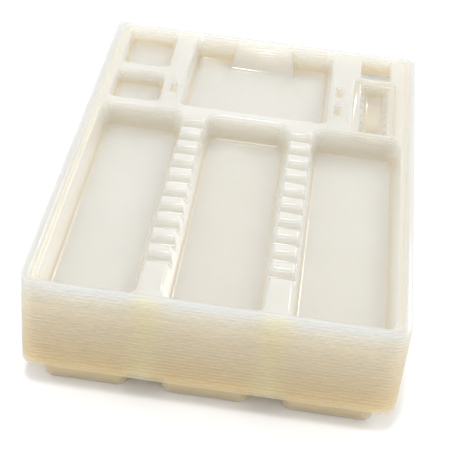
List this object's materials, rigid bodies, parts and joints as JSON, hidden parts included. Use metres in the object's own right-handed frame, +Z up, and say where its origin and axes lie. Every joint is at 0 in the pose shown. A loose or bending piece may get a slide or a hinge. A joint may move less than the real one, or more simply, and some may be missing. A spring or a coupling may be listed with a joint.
{
  "type": "nested compartment tray stack",
  "caption": "Stack of nested clear thermoformed trays, each with long wells, notched ribs and small pockets, lifting off one by one.",
  "frame": {"origin": "middle of the lowest tray's footprint, on the plane it rests on", "axes": "+X to the right, +Y towards the back where the small pockets are, +Z up"},
  "size_m": [0.244, 0.34, 0.0883],
  "materials": {
    "clear_sheet": "gloss"
  },
  "bodies": {
    "tray_body_01": {"tray_01": "clear_sheet"},
    "tray_body_02": {"tray_02": "clear_sheet"},
    "tray_body_03": {"tray_03": "clear_sheet"},
    "tray_body_04": {"tray_04": "clear_sheet"},
    "tray_body_05": {"tray_05": "clear_sheet"},
    "tray_body_06": {"tray_06": "clear_sheet"},
    "tray_body_07": {"tray_07": "clear_sheet"},
    "tray_body_08": {"tray_08": "clear_sheet"},
    "tray_body_09": {"tray_09": "clear_sheet"},
    "tray_body_10": {"tray_10": "clear_sheet"},
    "tray_body_11": {"tray_11": "clear_sheet"},
    "tray_body_12": {"tray_12": "clear_sheet"},
    "tray_body_13": {"tray_13": "clear_sheet"},
    "tray_body_14": {"tray_14": "clear_sheet"},
    "tray_body_15": {"tray_15": "clear_sheet"},
    "tray_body_16": {"tray_16": "clear_sheet"},
    "tray_body_17": {"tray_17": "clear_sheet"},
    "tray_body_18": {"tray_18": "clear_sheet"},
    "tray_body_19": {"tray_19": "clear_sheet"},
    "tray_body_20": {"tray_20": "clear_sheet"},
    "tray_body_21": {"tray_21": "clear_sheet"},
    "tray_body_22": {"tray_22": "clear_sheet"},
    "tray_body_23": {"tray_23": "clear_sheet"},
    "tray_body_24": {"tray_24": "clear_sheet"},
    "tray_body_25": {"tray_25": "clear_sheet"}
  },
  "joints": [
    {"name": "lift_02", "type": "slide", "parent": "tray_body_01", "child": "tray_body_02", "axis": [0, 0, 1], "range_m": [0, 0.03]},
    {"name": "lift_03", "type": "slide", "parent": "tray_body_02", "child": "tray_body_03", "axis": [0, 0, 1], "range_m": [0, 0.03]},
    {"name": "lift_04", "type": "slide", "parent": "tray_body_03", "child": "tray_body_04", "axis": [0, 0, 1], "range_m": [0, 0.03]},
    {"name": "lift_05", "type": "slide", "parent": "tray_body_04", "child": "tray_body_05", "axis": [0, 0, 1], "range_m": [0, 0.03]},
    {"name": "lift_06", "type": "slide", "parent": "tray_body_05", "child": "tray_body_06", "axis": [0, 0, 1], "range_m": [0, 0.03]},
    {"name": "lift_07", "type": "slide", "parent": "tray_body_06", "child": "tray_body_07", "axis": [0, 0, 1], "range_m": [0, 0.03]},
    {"name": "lift_08", "type": "slide", "parent": "tray_body_07", "child": "tray_body_08", "axis": [0, 0, 1], "range_m": [0, 0.03]},
    {"name": "lift_09", "type": "slide", "parent": "tray_body_08", "child": "tray_body_09", "axis": [0, 0, 1], "range_m": [0, 0.03]},
    {"name": "lift_10", "type": "slide", "parent": "tray_body_09", "child": "tray_body_10", "axis": [0, 0, 1], "range_m": [0, 0.03]},
    {"name": "lift_11", "type": "slide", "parent": "tray_body_10", "child": "tray_body_11", "axis": [0, 0, 1], "range_m": [0, 0.03]},
    {"name": "lift_12", "type": "slide", "parent": "tray_body_11", "child": "tray_body_12", "axis": [0, 0, 1], "range_m": [0, 0.03]},
    {"name": "lift_13", "type": "slide", "parent": "tray_body_12", "child": "tray_body_13", "axis": [0, 0, 1], "range_m": [0, 0.03]},
    {"name": "lift_14", "type": "slide", "parent": "tray_body_13", "child": "tray_body_14", "axis": [0, 0, 1], "range_m": [0, 0.03]},
    {"name": "lift_15", "type": "slide", "parent": "tray_body_14", "child": "tray_body_15", "axis": [0, 0, 1], "range_m": [0, 0.03]},
    {"name": "lift_16", "type": "slide", "parent": "tray_body_15", "child": "tray_body_16", "axis": [0, 0, 1], "range_m": [0, 0.03]},
    {"name": "lift_17", "type": "slide", "parent": "tray_body_16", "child": "tray_body_17", "axis": [0, 0, 1], "range_m": [0, 0.03]},
    {"name": "lift_18", "type": "slide", "parent": "tray_body_17", "child": "tray_body_18", "axis": [0, 0, 1], "range_m": [0, 0.03]},
    {"name": "lift_19", "type": "slide", "parent": "tray_body_18", "child": "tray_body_19", "axis": [0, 0, 1], "range_m": [0, 0.03]},
    {"name": "lift_20", "type": "slide", "parent": "tray_body_19", "child": "tray_body_20", "axis": [0, 0, 1], "range_m": [0, 0.03]},
    {"name": "lift_21", "type": "slide", "parent": "tray_body_20", "child": "tray_body_21", "axis": [0, 0, 1], "range_m": [0, 0.03]},
    {"name": "lift_22", "type": "slide", "parent": "tray_body_21", "child": "tray_body_22", "axis": [0, 0, 1], "range_m": [0, 0.03]},
    {"name": "lift_23", "type": "slide", "parent": "tray_body_22", "child": "tray_body_23", "axis": [0, 0, 1], "range_m": [0, 0.03]},
    {"name": "lift_24", "type": "slide", "parent": "tray_body_23", "child": "tray_body_24", "axis": [0, 0, 1], "range_m": [0, 0.03]},
    {"name": "lift_25", "type": "slide", "parent": "tray_body_24", "child": "tray_body_25", "axis": [0, 0, 1], "range_m": [0, 0.03]}
  ]
}
